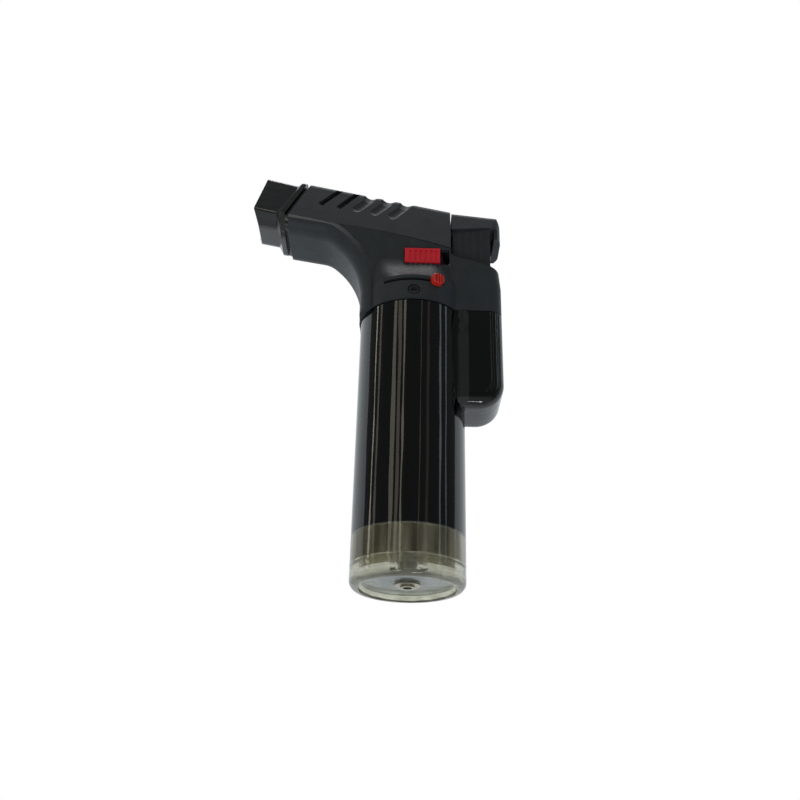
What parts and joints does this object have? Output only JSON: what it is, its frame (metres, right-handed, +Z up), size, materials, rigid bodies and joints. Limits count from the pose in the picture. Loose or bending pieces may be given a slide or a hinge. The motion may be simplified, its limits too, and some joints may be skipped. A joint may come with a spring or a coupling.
{
  "type": "butane torch",
  "caption": "Refillable pocket butane torch: smoked cylindrical tank, pistol-shaped head with nozzle guard, hooded thumb igniter, lock slide and flame adjuster.",
  "frame": {"origin": "centre of the tank's foot, in the plane it stands on", "axes": "+Z up along the tank's axis; the nozzle points to -X, raised 13 degrees; the thumb button is at +X; Y = 0 is the plane where the head's halves meet"},
  "size_m": [0.0941, 0.0407, 0.1604],
  "materials": {
    "black_abs": "fine spark-eroded texture",
    "black_gloss": "polished",
    "smoked_clear": "polished smoked acrylic",
    "base_clear": "polished light smoke acrylic",
    "red_plastic": "satin",
    "orange_plastic": "satin",
    "brass": "turned",
    "steel": "brushed",
    "black_steel": "black oxide",
    "rubber": "moulded",
    "silicone": "translucent silicone",
    "ceramic": "unglazed",
    "white_plastic": "moulded",
    "lead_insulation": "extruded",
    "felt": "fibrous"
  },
  "bodies": {
    "torch": {"base_cap": "base_clear", "fuel_tank": "smoked_clear", "refill_valve_body": "brass", "valve_body": "brass", "valve_gasket": "rubber", "dip_tube": "white_plastic", "wick": "felt", "lever_pin": "steel", "gas_hose": "silicone", "burner_tube": "steel", "mixing_tube": "steel", "gas_jet": "brass", "flame_holder": "brass", "burner_bracket": "black_abs", "flame_shield": "steel", "electrode_insulator": "ceramic", "electrode": "steel", "spark_lead": "lead_insulation", "earth_lead": "lead_insulation", "piezo_body": "black_abs", "housing_left": "black_abs", "housing_right": "black_abs", "top_cover": "black_abs", "nozzle_ring": "black_gloss", "nozzle_guard": "black_gloss", "collar_screws": "black_steel", "housing_screws": "black_steel", "refill_spring": "steel", "valve_spring": "steel", "piezo_spring": "steel"},
    "button": {"thumb_button": "black_abs", "piezo_plunger": "white_plastic"},
    "lock": {"lock_slide": "red_plastic", "lock_plate": "black_abs"},
    "adjuster": {"flame_adjuster": "orange_plastic"},
    "lever": {"gas_lever": "white_plastic"},
    "stem": {"valve_stem": "brass", "valve_seat": "rubber"},
    "filler": {"refill_stem": "brass", "refill_seal": "rubber"}
  },
  "joints": [
    {"name": "button_press", "type": "slide", "parent": "torch", "child": "button", "axis": [0, 0, -1], "range_m": [0, 0.0035], "stiffness_N_per_m": 900, "springref_m": -0.002, "deforming": ["piezo_spring"]},
    {"name": "lever_tilt", "type": "hinge", "parent": "torch", "child": "lever", "pos_m": [0.0044, 0, 0.1111], "axis": [0, 1, 0], "range_deg": [0, 15.3]},
    {"name": "stem_lift", "type": "slide", "parent": "torch", "child": "stem", "axis": [0, 0, 1], "range_m": [0, 0.00118], "deforming": ["valve_spring"]},
    {"name": "lock_slide_travel", "type": "slide", "parent": "torch", "child": "lock", "axis": [1, 0, 0], "range_m": [0, 0.0032]},
    {"name": "flame_adjust", "type": "hinge", "parent": "torch", "child": "adjuster", "pos_m": [0, 0, 0.1065], "axis": [0, 0, 1], "range_deg": [-52, 5]},
    {"name": "filler_push", "type": "slide", "parent": "torch", "child": "filler", "axis": [0, 0, 1], "range_m": [0, 0.0015], "stiffness_N_per_m": 400, "springref_m": -0.001, "deforming": ["refill_spring"]}
  ],
  "couplings": [
    {"joint": "lever_tilt", "follows": "button_press", "rad_per_m": 75.76},
    {"joint": "stem_lift", "follows": "button_press", "ratio": 0.3333}
  ]
}
